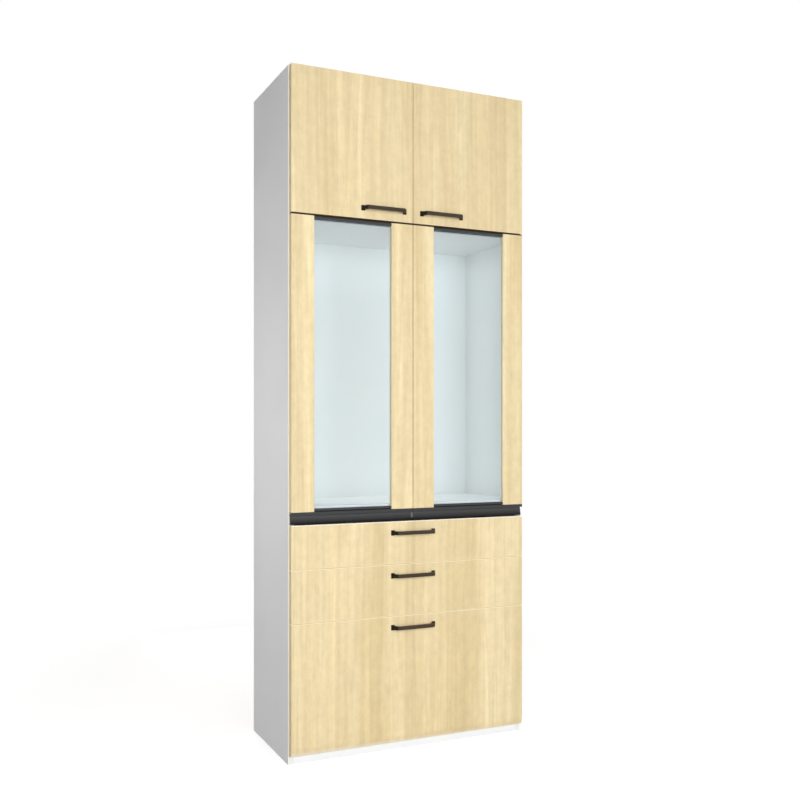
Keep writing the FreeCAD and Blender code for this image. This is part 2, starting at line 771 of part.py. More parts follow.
def rounded_plank(name, span, glass_edge):
    """A stile's plank with the front edge beside the glass rounded."""
    near, far = span
    outline = [(near, front_back), (near, front_face), (far, front_face), (far, front_back)]
    body, pad = bar(name, outline, "XY_Plane", glass_door_top - glass_door_foot)
    place(body, NONE, NONE, glass_door_foot)
    doc.recompute()
    rounding = body.newObject("PartDesign::Fillet", name + "_rounding")
    rounding.Base = (pad, upright_edges_at(pad.Shape, glass_edge.value, front_face.value))
    bind(rounding, "Radius", S.stile_rounding)
    body.Tip = rounding
    return body


def make_stile(node, side, reach, glass_side, levels):
    """A wooden stile with a groove for the glass and, on the hinge side, bores for the cups."""
    groove = S.glass_grip + S.glass_play
    if glass_side == "near":
        edge = reach[0]
        groove_reach = (edge - S.overrun, edge + groove)
    else:
        edge = reach[1]
        groove_reach = (edge - groove, edge + S.overrun)
    plank = rounded_plank(node + "_plank", sideways(side, *reach), across(side, edge))
    groove_span = sideways(side, *groove_reach)
    tools = [board(node + "_groove", groove_span, groove_depth(), groove_height())]
    tools += cup_bores(node + "_cup_bore", side, levels)
    keep(node, without(node, plank, tools))


def head_cap(name, side):
    """The flange of the head rail, which covers the top of the whole door."""
    height = (glass_door_top, glass_door_top + S.head_cap)
    return board(name, sideways(side, door_half_gap, half_width), FRONT_DEPTH, height)


def door_rail(name, span, foot, shadow_foot):
    """A black rail above or below the glass, with a groove for it and one along its outer edge."""
    depth = (front_face + S.door_rail_set_back, front_back)
    rail = board(name + "_bar", span, depth, (foot, foot + S.door_rail_height))
    long_span = (span[0] - S.overrun, span[1] + S.overrun)
    groove = board(name + "_groove", long_span, groove_depth(), groove_height())
    shadow_depth = (depth[0] - S.overrun, depth[0] + S.shadow_groove_depth)
    shadow_height = (shadow_foot, shadow_foot + S.shadow_groove_height)
    shadow = board(name + "_shadow_groove", long_span, shadow_depth, shadow_height)
    return without(name, rail, [groove, shadow])


def make_finger_pull(node, side):
    """The black profile along the foot of a glass door, hooked by the fingers from below."""
    web_foot = glass_door_foot - S.pull_web
    flange_back = front_face + S.pull_flange
    outline = [
        (front_face, glass_door_foot),
        (front_face, pull_foot),
        (flange_back, pull_foot),
        (flange_back, web_foot),
        (front_back, web_foot),
        (front_back, glass_door_foot),
    ]
    pull, _ = bar(node, outline, "YZ_Plane", half_width - door_half_gap)
    place(pull, sideways(side, door_half_gap, half_width)[0], NONE, NONE)
    keep(node, pull)


def make_glass_door(word, side):
    prefix = "glass_" + word
    inner_far = door_half_gap + S.stile_width
    outer_near = half_width - S.stile_width
    make_stile(prefix + "_outer_stile", side, (outer_near, half_width), "near", GLASS_HINGES)
    make_stile(prefix + "_inner_stile", side, (door_half_gap, inner_far), "far", [])
    span = sideways(side, inner_far, outer_near)
    opening_foot = glass_door_foot + S.door_rail_height
    opening_top = glass_door_top - S.door_rail_height
    head_shadow_foot = glass_door_top - S.shadow_groove_height
    head_bar = door_rail(prefix + "_head_bar", span, opening_top, head_shadow_foot)
    rails = [
        door_rail(prefix + "_foot_rail", span, glass_door_foot, glass_door_foot),
        joined(prefix + "_head_rail", [head_bar, head_cap(prefix + "_head_cap", side)]),
    ]
    keep(prefix + "_rails", grouped(prefix + "_rails", rails))
    pane_span = (span[0] - S.glass_grip, span[1] + S.glass_grip)
    pane_depth = (glass_front(), glass_front() + S.glass_thickness)
    pane_height = (opening_foot - S.glass_grip, opening_top + S.glass_grip)
    keep(prefix + "_pane", board(prefix + "_pane", pane_span, pane_depth, pane_height))
    make_finger_pull(prefix + "_finger_pull", side)
    make_hinge_cups(prefix + "_hinge_cups", side, GLASS_HINGES)


def straight_front(name, foot, top):
    return board(name, WHOLE_WIDTH, FRONT_DEPTH, (foot, top))


def curved_front(name, foot, top):
    """A front whose foot curves back, drawn from the side and drawn out to the full width."""
    body = doc.addObject("PartDesign::Body", name)
    sketch = new_sketch(body, name + "_outline", "YZ_Plane")
    centre = (front_face + S.toe_radius, foot + S.toe_rise)
    toe_back = centre[0] - S.toe_radius.other_leg(S.toe_rise)
    corners = [(front_face, centre[1]), (front_face, top), (front_back, top),
               (front_back, foot), (toe_back, foot)]
    flat = [FreeCAD.Vector(y.value, z.value, 0) for y, z in corners]
    lines = []
    for start, end in zip(flat, flat[1:]):
        lines.append(sketch.addGeometry(Part.LineSegment(start, end), False))
    middle = FreeCAD.Vector(centre[0].value, centre[1].value, 0)
    circle = Part.Circle(middle, UP, S.toe_radius.value)
    arc_start = circle.parameter(flat[0])
    arc_end = circle.parameter(flat[-1])
    arc = sketch.addGeometry(Part.ArcOfCircle(circle, arc_start, arc_end), False)
    for line, following in zip(lines, lines[1:]):
        sketch.addConstraint(Sketcher.Constraint("Coincident", line, 2, following, 1))
    sketch.addConstraint(Sketcher.Constraint("Coincident", arc, 1, lines[0], 1))
    sketch.addConstraint(Sketcher.Constraint("Coincident", arc, 2, lines[-1], 2))
    for line, point in zip(lines, corners):
        pin_point(sketch, line, 1, point)
    pin_point(sketch, lines[-1], 2, corners[-1])
    radius = sketch.addConstraint(Sketcher.Constraint("Radius", arc, S.toe_radius.value))
    sketch.setExpression("Constraints[%d]" % radius, S.toe_radius.words)
    pad = body.newObject("PartDesign::Pad", name + "_pad")
    pad.Profile = sketch
    bind(pad, "Length", S.case_width)
    body.Tip = pad
    place(body, -half_width, NONE, NONE)
    return body


def runner_level(foot, rise):
    return foot + rise + S.runner_rise


def make_slides(node, level):
    depth = (case_front, case_front + runner_length - S.slide_short)
    height = around(level, S.slide_height)
    far = inner_half - S.channel_wall - S.slide_play
    slides = []
    for word, side in SIDES.items():
        slides.append(board("%s_%s" % (node, word), sideways(side, box_half, far), depth, height))
    keep(node, grouped(node, slides))


def channel(name, side, level):
    """A fixed C-shaped channel on a side board, open towards the drawer."""
    start = case_front + S.channel_start
    depth = (start, start + runner_length)
    inside = S.slide_height + S.slide_play * 2
    outside = inside + S.channel_wall * 2
    span = sideways(side, inner_half - S.channel_depth, inner_half)
    block = board(name + "_block", span, depth, around(level, outside))
    hollow = sideways(side, inner_half - S.channel_depth - S.overrun, inner_half - S.channel_wall)
    long_depth = (depth[0] - S.overrun, depth[1] + S.overrun)
    space = board(name + "_space", hollow, long_depth, around(level, inside))
    return without(name, block, [space])


def make_drawer_channels():
    channels = []
    for name, (foot, _, rise, _) in DRAWERS.items():
        for word, side in SIDES.items():
            channels.append(channel("%s_%s_channel" % (name, word), side, runner_level(foot, rise)))
    keep("drawer_channels", grouped("drawer_channels", channels))


def make_drawer(name, foot, top, rise, height):
    prefix = name + "_drawer"
    shape = curved_front if name == "deep" else straight_front
    z = top - S.handle_drop
    tools = handle_holes(prefix + "_screw_bore", NONE, z)
    keep(prefix + "_front", without(prefix + "_front", shape(prefix + "_slab", foot, top), tools))
    make_handle(prefix + "_handle", NONE, z)
    box_foot = foot + rise
    box_height = (box_foot, box_foot + height)
    within = box_half - S.box_board
    sides = []
    for word, side in SIDES.items():
        span = sideways(side, within, box_half)
        plank = board("%s_%s_side" % (prefix, word), span, (front_back, box_back), box_height)
        sides.append(plank)
    keep(prefix + "_sides", grouped(prefix + "_sides", sides))
    back_depth = (box_back - S.box_board, box_back)
    keep(prefix + "_back", board(prefix + "_back", (-within, within), back_depth, box_height))
    bottom_foot = box_foot + S.box_bottom_rise
    bottom_height = (bottom_foot, bottom_foot + S.box_bottom)
    bottom_depth = (front_back, box_back - S.box_board)
    keep(prefix + "_bottom", board(prefix + "_bottom", (-within, within), bottom_depth, bottom_height))
    make_slides(prefix + "_slides", runner_level(foot, rise))


def make_all():
    make_cover_panels()
    make_base_case()
    make_glass_case()
    make_upper_case()
    make_shelf()
    make_shelf_supports()
    make_wall_fixing_rails()
    make_case_bolts()
    make_recess_rail()
    make_door_catch()
    make_hinge_arms()
    make_drawer_channels()
    for word, side in SIDES.items():
        make_upper_door(word, side)
        make_glass_door(word, side)
    for name, (foot, top, rise, height) in DRAWERS.items():
        make_drawer(name, foot, top, rise, height)
    doc.recompute()


def check_all():
    """Stops if any feature failed or any sub-part has no sound shape."""
    for item in doc.Objects:
        if "Invalid" in item.State or "Error" in item.State:
            raise RuntimeError("%s did not build: %s" % (item.Name, item.State))
    for item in kept:
        if item.Shape.isNull() or not item.Shape.isValid():
            raise RuntimeError("%s has no sound shape" % item.Label)


def write_all():
    os.makedirs("parts", exist_ok=True)
    for item in kept:
        item.Shape.exportStep("parts/%s.step" % item.Label)
        box = item.Shape.BoundBox
        print("%-28s %2d solids  x %7.1f %7.1f  y %7.1f %7.1f  z %7.1f %7.1f" % (
            item.Label, len(item.Shape.Solids), box.XMin, box.XMax, box.YMin, box.YMax,
            box.ZMin, box.ZMax))
    print(len(kept), "sub-parts written")


make_all()
check_all()
write_all()
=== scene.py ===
# Finishes, small fittings, light and camera for a tall kitchen cupboard with wooden doors above,
# glass doors in the middle and three drawers below. Metres, +Z up, the front looks towards -Y.
import math

import bmesh
import bpy
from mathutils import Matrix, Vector


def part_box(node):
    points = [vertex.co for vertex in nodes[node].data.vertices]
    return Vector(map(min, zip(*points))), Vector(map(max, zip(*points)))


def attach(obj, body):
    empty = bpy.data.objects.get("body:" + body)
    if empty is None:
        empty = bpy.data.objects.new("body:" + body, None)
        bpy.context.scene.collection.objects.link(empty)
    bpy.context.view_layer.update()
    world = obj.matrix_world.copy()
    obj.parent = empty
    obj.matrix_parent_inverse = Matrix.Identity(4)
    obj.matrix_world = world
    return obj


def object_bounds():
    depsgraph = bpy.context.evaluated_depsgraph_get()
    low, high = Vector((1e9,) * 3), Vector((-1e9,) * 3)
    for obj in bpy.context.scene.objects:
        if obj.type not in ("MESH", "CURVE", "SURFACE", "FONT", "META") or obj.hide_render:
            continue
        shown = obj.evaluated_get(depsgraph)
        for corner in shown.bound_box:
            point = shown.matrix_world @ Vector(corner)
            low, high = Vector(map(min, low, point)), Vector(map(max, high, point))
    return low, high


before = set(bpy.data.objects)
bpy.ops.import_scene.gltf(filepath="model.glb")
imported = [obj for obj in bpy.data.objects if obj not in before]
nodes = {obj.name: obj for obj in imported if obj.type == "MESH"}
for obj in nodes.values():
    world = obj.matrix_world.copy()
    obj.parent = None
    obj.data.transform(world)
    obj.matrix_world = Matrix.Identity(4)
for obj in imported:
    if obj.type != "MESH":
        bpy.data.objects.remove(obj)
packed_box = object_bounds()

MM = 0.001
SIDES = {"left": -1, "right": 1}

# Camera, turned in degrees, with its sensor and lens in millimetres
CAMERA_PLACE = (-1.4686, -3.2786, 1.130)
CAMERA_TURN = (90.0, 0.0, -24.74)
SENSOR_WIDTH = 36.0
LENS = 43.456
VIEW_SHIFT = 0.0354

# Light of the room, and the floor: how pale it is, what the lamps give it close to the cupboard,
# and the two distances between which that light fades
AMBIENT = 0.17
SHOWN_WHITE = 1.0
FLOOR_PALE = 0.60
FLOOR_REACH = 40.0
LAMPLIT_FLOOR = 0.22
LAMPLIT_REACH = (0.7, 2.6)


def linear(red, green, blue):
    """A colour as a screen shows it, 0 to 255, turned into the light it stands for."""
    steps = [value / 255 for value in (red, green, blue)]
    light = [((s + 0.055) / 1.055) ** 2.4 if s > 0.04045 else s / 12.92 for s in steps]
    return (*light, 1.0)


# Tones of the finishes
WHITE = (1.0, 1.0, 1.0, 1.0)
MAPLE_DARK, MAPLE_PALE = linear(222, 200, 153), linear(248, 231, 188)
MAPLE_FLECK = linear(200, 175, 124)
# The lighter edge tones of the finishes stand for worn edges and also for a painted highlight on those
# edges
MAPLE_WORN_LIT_EDGE = linear(252, 240, 212)
# Painted highlight for faces that look up, and for the feet and top lines of the lower fronts
PAINTED_EDGE_HIGHLIGHT = linear(255, 248, 232)
# Painted highlight for the joints between the drawer fronts
PAINTED_JOINT_HIGHLIGHT = linear(251, 234, 194)
# Painted shade on the faces under the upper doors
UPPER_DOOR_FOOT_SHADE = linear(160, 112, 30)
# Painted highlight on the stile sides beside the glass
GLASS_SIDE_HIGHLIGHT = linear(255, 244, 212)
# The cover's edge tone is a painted highlight on its shaded front edge
COVER_WHITE, COVER_EDGE_HIGHLIGHT = linear(243, 243, 243), linear(255, 250, 231)
INSIDE_WHITE = linear(236, 237, 237)
# Painted shade on the front edge of the glass case's top board
CASE_TOP_EDGE_SHADE = linear(200, 202, 203)
# Painted highlight on the shaded front edge of the glass case's bottom board
CASE_FOOT_EDGE_HIGHLIGHT = linear(247, 248, 248)
PLINTH_WHITE = linear(243, 244, 245)
DRAWER_GREY = linear(226, 226, 222)
WHITE_WORN_LIT_EDGE = linear(252, 252, 250)
FIBRE_DARK, FIBRE_PALE = linear(128, 92, 60), linear(166, 126, 86)
CHIP_DARK, CHIP_PALE = linear(152, 120, 84), linear(206, 178, 138)
CHIP_CLOUD = linear(176, 142, 100)
TRIM_DARK, TRIM_PALE = linear(44, 45, 46), linear(54, 55, 56)
RAIL_DARK, RAIL_PALE = linear(56, 57, 58), linear(66, 67, 68)
# Painted shadow along the rail foot, painted shade on the rail cap
RAIL_FOOT_PAINTED_SHADOW = linear(8, 8, 9)
RAIL_CAP_PAINTED_SHADE = linear(30, 20, 4)
RECESS_DARK, RECESS_PALE = linear(70, 71, 72), linear(80, 81, 82)
RECESS_FOOT_SHADOW = linear(8, 5, 2)
BLACK_WORN_LIT_EDGE = linear(98, 98, 98)
# Painted shade on the handles' flanks and feet
HANDLE_FLANK_SHADE = linear(18, 11, 3)
HANDLE_DARK, HANDLE_PALE = linear(57, 47, 38), linear(67, 57, 47)
HANDLE_WORN_LIT_EDGE = linear(96, 86, 76)
ZINC_DARK, ZINC_PALE = linear(176, 178, 182), linear(206, 207, 208)
ZINC_WORN_LIT_EDGE = linear(232, 232, 230)
SUPPORT_GREY = linear(166, 168, 168)
CATCH_GREY = linear(96, 96, 92)
PLASTIC_WORN_LIT_EDGE = linear(214, 214, 212)
GLASS_DEEP, GLASS_PALE = linear(241, 249, 252), linear(244, 250, 252)
GLASS_PASSED = linear(246, 251, 253)


# Node helpers
def add_node(tree, kind, inputs=None, **settings):
    """A shader node with its settings made and its sockets fed by values or by other sockets."""
    node = tree.nodes.new("ShaderNode" + kind)
    for name, value in settings.items():
        setattr(node, name, value)
    for name, value in (inputs or {}).items():
        feed(tree, node.inputs[name], value)
    return node


def feed(tree, socket, value):
    if isinstance(value, bpy.types.NodeSocket):
        tree.links.new(value, socket)
    else:
        socket.default_value = value


def maths(tree, operation, first, second=0.0, third=0.0, clamp=False):
    inputs = {0: first, 1: second, 2: third}
    return add_node(tree, "Math", inputs, operation=operation, use_clamp=clamp).outputs[0]


def mix_colours(tree, factor, first, second):
    node = add_node(tree, "Mix", data_type="RGBA")
    for index, value in ((0, factor), (6, first), (7, second)):
        feed(tree, node.inputs[index], value)
    return node.outputs[2]


def spread(tree, value, low, high, out_low=0.0, out_high=1.0):
    """Maps low..high to out_low..out_high and stops there."""
    node = add_node(tree, "MapRange", {"Value": value, "From Min": low, "From Max": high,
                                       "To Min": out_low, "To Max": out_high})
    return node.outputs["Result"]


def between(tree, mask, low, high):
    """A mask of 0 to 1 turned into values from low to high."""
    return spread(tree, mask, 0.0, 1.0, low, high)


def noise(tree, vector, detail, roughness=0.5, distortion=0.0):
    node = add_node(tree, "TexNoise", {"Vector": vector, "Scale": 1.0, "Detail": detail,
                                       "Roughness": roughness, "Distortion": distortion})
    return node.outputs["Fac"]


def stretched(tree, vector, per_metre):
    """A place multiplied by how often a pattern repeats per metre along each axis."""
    node = add_node(tree, "VectorMath", {0: vector, 1: per_metre}, operation="MULTIPLY")
    return node.outputs["Vector"]


def scaled(tree, vector, factor):
    """A place or a colour multiplied by one factor."""
    node = add_node(tree, "VectorMath", {0: vector, "Scale": factor}, operation="SCALE")
    return node.outputs["Vector"]


def moved(tree, vector, shift):
    return add_node(tree, "VectorMath", {0: vector, 1: shift}, operation="ADD").outputs["Vector"]


def axes(tree, vector):
    return add_node(tree, "SeparateXYZ", {"Vector": vector}).outputs


def place_on_piece(tree):
    return add_node(tree, "TexCoord").outputs["Object"]


def facing_of_piece(tree):
    return add_node(tree, "TexCoord").outputs["Normal"]


def new_group(name, inputs, outputs):
    """An empty node group with named sockets, and its two end nodes."""
    group = bpy.data.node_groups.new(name, "ShaderNodeTree")
    for in_out, sockets in (("INPUT", inputs), ("OUTPUT", outputs)):
        for label, kind in sockets:
            group.interface.new_socket(label, in_out=in_out, socket_type="NodeSocket" + kind)
    return group, group.nodes.new("NodeGroupInput"), group.nodes.new("NodeGroupOutput")


def use_group(tree, group, inputs):
    """The outputs of a node group fed with inputs."""
    node = tree.nodes.new("ShaderNodeGroup")
    node.node_tree = group
    for name, value in inputs.items():
        feed(tree, node.inputs[name], value)
    return node.outputs


# Shared effects
def make_grain_group():
    """Upright wood grain: wide streaks, growth bands, narrow streaks, fibres, clouds and flecks."""
    group, start, end = new_group(
        "upright_grain", [("Place", "Vector"), ("Sheet", "Vector")],
        [("Streaks", "Float"), ("Bands", "Float"), ("Narrow", "Float"), ("Fibres", "Float"),
         ("Figure", "Float"), ("Flecks", "Float")])
    here = moved(group, start.outputs["Place"], start.outputs["Sheet"])
    # A slow sideways drift keeps the streaks from being ruler straight.
    drift_reach = 35 * MM
    sway = noise(group, stretched(group, here, (1.5, 1.5, 1.1)), 1.0)
    drift = maths(group, "MULTIPLY", maths(group, "SUBTRACT", sway, 0.5), drift_reach)
    waved = moved(group, here, add_node(group, "CombineXYZ", {"X": drift}).outputs["Vector"])
    # Repeats per metre, detail and roughness of each pattern, and what is spread over 0 to 1.
    layers = {
        "Streaks": ((11, 11, 0.26), 4.0, 0.75, 0.34, 0.66),
        "Narrow": ((36, 36, 0.8), 3.0, 0.6, 0.30, 0.70),
        "Fibres": ((620, 620, 9), 2.0, 0.6, 0.30, 0.70),
        "Figure": ((38, 38, 30), 3.0, 0.65, 0.30, 0.70),
        "Flecks": ((130, 130, 14), 1.0, 0.5, 0.60, 0.74),
    }
    for label, (per_metre, detail, rough, low, high) in layers.items():
        value = noise(group, stretched(group, waved, per_metre), detail, rough)
        group.links.new(spread(group, value, low, high), end.inputs[label])
    # A growth band darkens slowly across its width and then turns pale again at once.
    band_steps = 11.0
    turning_point = 0.88
    slow = noise(group, stretched(group, waved, (4.5, 4.5, 0.22)), 1.0, 0.4)
    band = maths(group, "FRACT", maths(group, "MULTIPLY", slow, band_steps))
    rise = spread(group, band, 0.0, turning_point)
    fall = spread(group, band, 1.0, turning_point)
    group.links.new(maths(group, "MULTIPLY", rise, fall), end.inputs["Bands"])
    return group


def make_edge_group():
    """A broken mask along the sharp edges of a piece, where hands and cloths rub it and where a
    painted highlight lights the edge.
    """
    group, start, end = new_group(
        "worn_and_highlit_edge", [("Width", "Float"), ("Amount", "Float")], [("Mask", "Float")])
    rounded = add_node(group, "Bevel", {"Radius": start.outputs["Width"]}, samples=4)
    flat = add_node(group, "NewGeometry").outputs["Normal"]
    same = add_node(group, "VectorMath", {0: rounded.outputs["Normal"], 1: flat},
                    operation="DOT_PRODUCT").outputs["Value"]
    edge = spread(group, same, 0.995, 0.80)
    patches = noise(group, stretched(group, place_on_piece(group), (60, 60, 60)), 4.0)
    broken = maths(group, "MULTIPLY_ADD", spread(group, patches, 0.35, 0.65), 0.7, 0.5)
    mask = maths(group, "MULTIPLY", edge, broken)
    mask = maths(group, "MULTIPLY", mask, start.outputs["Amount"], clamp=True)
    group.links.new(mask, end.inputs["Mask"])
    return group


def make_touch_group():
    """Very slow changes of gloss, as wiping and handling leave them, and a fine skin texture."""
    group, start, end = new_group(
        "handled_skin", [("Per Metre", "Float")], [("Smudge", "Float"), ("Skin", "Float")])
    here = place_on_piece(group)
    smudge = noise(group, stretched(group, here, (5, 5, 4)), 4.0, 0.6, 0.6)
    group.links.new(spread(group, smudge, 0.35, 0.68), end.inputs["Smudge"])
    skin = noise(group, scaled(group, here, start.outputs["Per Metre"]), 3.0, 0.6)
    group.links.new(skin, end.inputs["Skin"])
    return group


def make_chip_group():
    """Pressed wood chips, as a cut board edge or a bare back shows them."""
    group, start, end = new_group(
        "wood_chips", [("Place", "Vector")], [("Color", "Color"), ("Height", "Float")])
    here = stretched(group, start.outputs["Place"], (420, 420, 420))
    chips = add_node(group, "TexVoronoi", {"Vector": here, "Scale": 1.0})
    shade = add_node(group, "SeparateColor", {"Color": chips.outputs["Color"]}).outputs["Red"]
    group.links.new(mix_colours(group, shade, CHIP_DARK, CHIP_PALE), end.inputs["Color"])
    group.links.new(chips.outputs["Distance"], end.inputs["Height"])
    return group


GRAIN = make_grain_group()
EDGE = make_edge_group()
TOUCH = make_touch_group()
CHIPS = make_chip_group()


def handled(tree, per_metre):
    """The smudges of a surface, and its skin, which repeats so often per metre."""
    return use_group(tree, TOUCH, {"Per Metre": per_metre})


def wear_and_highlight_edges(tree, tone, width, amount, edge_wear_and_highlight):
    """Shows the worn tone along the sharp edges of a piece, which is also a painted highlight there.
    """
    edge = use_group(tree, EDGE, {"Width": width, "Amount": amount})["Mask"]
    return mix_colours(tree, edge, tone, edge_wear_and_highlight)


# Finishes
def new_material(name):
    material = bpy.data.materials.new(name)
    material.use_nodes = True
    tree = material.node_tree
    tree.nodes.clear()
    return material, tree


def close_material(tree, inputs, bump=None):
    """The surface shader, wired to the output. A bump is its height, strength and depth."""
    if bump is not None:
        height, strength, depth = bump
        raised = add_node(tree, "Bump", {"Height": height, "Strength": strength, "Distance": depth})
        inputs = {**inputs, "Normal": raised.outputs["Normal"]}
    shader = add_node(tree, "BsdfPrincipled", inputs)
    output = add_node(tree, "OutputMaterial")
    tree.links.new(shader.outputs["BSDF"], output.inputs["Surface"])
    return shader, output


def maple_film(name, sheet, shade, painted_foot_tone, bands=None, highlight_beside_glass=None):
    """Pale maple film, satin, with its grain upright. Each sheet of film has its own part of it.
    Faces that look up get a painted highlight. Faces that look down get the painted foot tone:
    painted shade on the upper doors, a painted highlight on the others. At each height in bands a
    painted highlight line runs across the faces, in the colour given there. Sides that look at the
    glass, between two distances from the middle, get a painted highlight."""
    material, tree = new_material(name)
    here = place_on_piece(tree)
    at = axes(tree, here)
    facing = axes(tree, facing_of_piece(tree))
    grain = use_group(tree, GRAIN, {"Place": here, "Sheet": sheet})
    touch = handled(tree, 1400.0)
    streaks = maths(tree, "MULTIPLY", grain["Streaks"], between(tree, grain["Bands"], 1.0, 0.55))
    tone = mix_colours(tree, streaks, MAPLE_DARK, MAPLE_PALE)
    layers = {"Narrow": (0.93 * shade, 1.042 * shade), "Fibres": (0.986, 1.012),
              "Figure": (0.94, 1.042)}
    for label, (low, high) in layers.items():
        tone = scaled(tree, tone, between(tree, grain[label], low, high))
    tone = mix_colours(tree, maths(tree, "MULTIPLY", grain["Flecks"], 0.18), tone, MAPLE_FLECK)
    tone = wear_and_highlight_edges(tree, tone, 1.2 * MM, 0.45, MAPLE_WORN_LIT_EDGE)
    # Painted highlight on faces that look up; on faces that look down the painted foot tone, painted
    # shade on the upper doors and a painted highlight on the others
    tone = mix_colours(tree, spread(tree, facing["Z"], 0.3, 0.7), tone, PAINTED_EDGE_HIGHLIGHT)
    tone = mix_colours(tree, spread(tree, facing["Z"], -0.3, -0.7), tone, painted_foot_tone)
    # Painted highlight on the shaded sides of the stiles that look at the glass
    if highlight_beside_glass is not None:
        near, far = highlight_beside_glass
        across = maths(tree, "ABSOLUTE", at["X"])
        close = maths(tree, "COMPARE", across, (near + far) / 2, (far - near) / 2)
        sideways = spread(tree, maths(tree, "ABSOLUTE", facing["X"]), 0.6, 0.95)
        tone = mix_colours(tree, maths(tree, "MULTIPLY", close, sideways), tone, GLASS_SIDE_HIGHLIGHT)
    # A painted highlight line at each given height
    highlight_half_height = 2.5 * MM
    for height, colour in (bands or {}).items():
        tone = mix_colours(tree, maths(tree, "COMPARE", at["Z"], height, highlight_half_height), tone, colour)
    rough = between(tree, touch["Smudge"], 0.42, 0.54)
    raised = maths(tree, "MULTIPLY_ADD", grain["Fibres"], 0.8, 0.5)
    raised = maths(tree, "ADD", raised, maths(tree, "MULTIPLY", touch["Skin"], 0.15))
    close_material(tree, {"Base Color": tone, "Roughness": rough}, (raised, 0.25, 0.08 * MM))
    return material


def white_board(name, colour, cut_from=None, painted_front_edge=None):
    """White melamine board with a faint orange peel. Past cut_from along Y its cut chips show.
    A painted front edge is given as where it ends along Y and its tone: painted light on the cover and
    the foot board, painted shade on the top board."""
    material, tree = new_material(name)
    here = place_on_piece(tree)
    depth = axes(tree, here)["Y"]
    touch = handled(tree, 700.0)
    cloud = noise(tree, stretched(tree, here, (2.2, 2.2, 1.3)), 3.0)
    tone = scaled(tree, colour[:3], spread(tree, cloud, 0.35, 0.65, 0.985, 1.0))
    tone = wear_and_highlight_edges(tree, tone, 1.0 * MM, 0.3, WHITE_WORN_LIT_EDGE)
    rough = between(tree, touch["Smudge"], 0.38, 0.52)
    # The given painted tone on the front edge of the board
    if painted_front_edge is not None:
        edge_end, painted_edge_tone = painted_front_edge
        tone = mix_colours(tree, maths(tree, "LESS_THAN", depth, edge_end), tone, painted_edge_tone)
    if cut_from is not None:
        cut = maths(tree, "GREATER_THAN", depth, cut_from)
        tone = mix_colours(tree, cut, tone, use_group(tree, CHIPS, {"Place": here})["Color"])
        rough = maths(tree, "ADD", rough, maths(tree, "MULTIPLY", cut, 0.35))
    close_material(tree, {"Base Color": tone, "Roughness": rough}, (touch["Skin"], 0.12, 0.06 * MM))
    return material


def hardboard(name, colour, back_from):
    """Thin back panel: white decor inside, brown pressed fibre on the wall side."""
    material, tree = new_material(name)
    here = place_on_piece(tree)
    touch = handled(tree, 700.0)
    fibre = noise(tree, stretched(tree, here, (260, 260, 260)), 5.0, 0.7)
    brown = mix_colours(tree, spread(tree, fibre, 0.3, 0.7), FIBRE_DARK, FIBRE_PALE)
    behind = maths(tree, "GREATER_THAN", axes(tree, here)["Y"], back_from)
    tone = mix_colours(tree, behind, colour, brown)
    rough = between(tree, touch["Smudge"], 0.38, 0.52)
    rough = maths(tree, "ADD", rough, maths(tree, "MULTIPLY", behind, 0.3))
    raised = mix_colours(tree, behind, touch["Skin"], fibre)
    close_material(tree, {"Base Color": tone, "Roughness": rough}, (raised, 0.12, 0.1 * MM))
    return material


def chip_board(name):
    """Bare board of pressed chips, for the rails that nobody sees."""
    material, tree = new_material(name)
    here = place_on_piece(tree)
    chips = use_group(tree, CHIPS, {"Place": here})
    cloud = noise(tree, stretched(tree, here, (6, 6, 6)), 3.0)
    tone = mix_colours(tree, spread(tree, cloud, 0.3, 0.7, 0.0, 0.3), chips["Color"], CHIP_CLOUD)
    close_material(tree, {"Base Color": tone, "Roughness": 0.85}, (chips["Height"], 0.3, 0.2 * MM))
    return material


def black_aluminium(name, dark, pale, gloss, edge_wear_and_highlight, shadows=()):
    """Black anodised profile with fine drawing lines along its length, from dark to pale. Each
    painted shadow has a deeper tone, which ends between two heights."""
    material, tree = new_material(name)
    here = place_on_piece(tree)
    level = axes(tree, here)["Z"]
    touch = handled(tree, 1200.0)
    lines = noise(tree, stretched(tree, here, (6, 1800, 1800)), 2.0, 0.6)
    tone = mix_colours(tree, spread(tree, lines, 0.3, 0.7), dark, pale)
    tone = wear_and_highlight_edges(tree, tone, 0.8 * MM, edge_wear_and_highlight, BLACK_WORN_LIT_EDGE)
    for deepest, ended, deep_tone in shadows:
        tone = mix_colours(tree, spread(tree, level, deepest, ended), deep_tone, tone)
    rough = between(tree, touch["Smudge"], 0.30, 0.44)
    close_material(tree, {"Base Color": tone, "Roughness": rough, "Specular IOR Level": gloss},
                   (lines, 0.25, 0.04 * MM))
    return material


def handle_coat(name, lit_from, lit_to):
    """Dark powder coat with a fine pebble, worn lighter along the edges and given a painted highlight
    there. Its front face has the lit tone; its flanks and feet carry painted shade, and the lit tone
    ends between two depths."""
    material, tree = new_material(name)
    depth = axes(tree, place_on_piece(tree))["Y"]
    forward = axes(tree, facing_of_piece(tree))["Y"]
    touch = handled(tree, 2200.0)
    lit_front_tone = mix_colours(tree, touch["Smudge"], HANDLE_DARK, HANDLE_PALE)
    # Painted light on the front face, painted shade on the flanks and feet
    front = maths(tree, "MULTIPLY", spread(tree, depth, lit_from, lit_to),
                  spread(tree, forward, -0.6, -0.95))
    tone = mix_colours(tree, front, HANDLE_FLANK_SHADE, lit_front_tone)
    tone = wear_and_highlight_edges(tree, tone, 0.9 * MM, 0.5, HANDLE_WORN_LIT_EDGE)
    rough = between(tree, touch["Smudge"], 0.38, 0.52)
    close_material(tree, {"Base Color": tone, "Roughness": rough, "Specular IOR Level": 0.22},
                   (touch["Skin"], 0.35, 0.12 * MM))
    return material


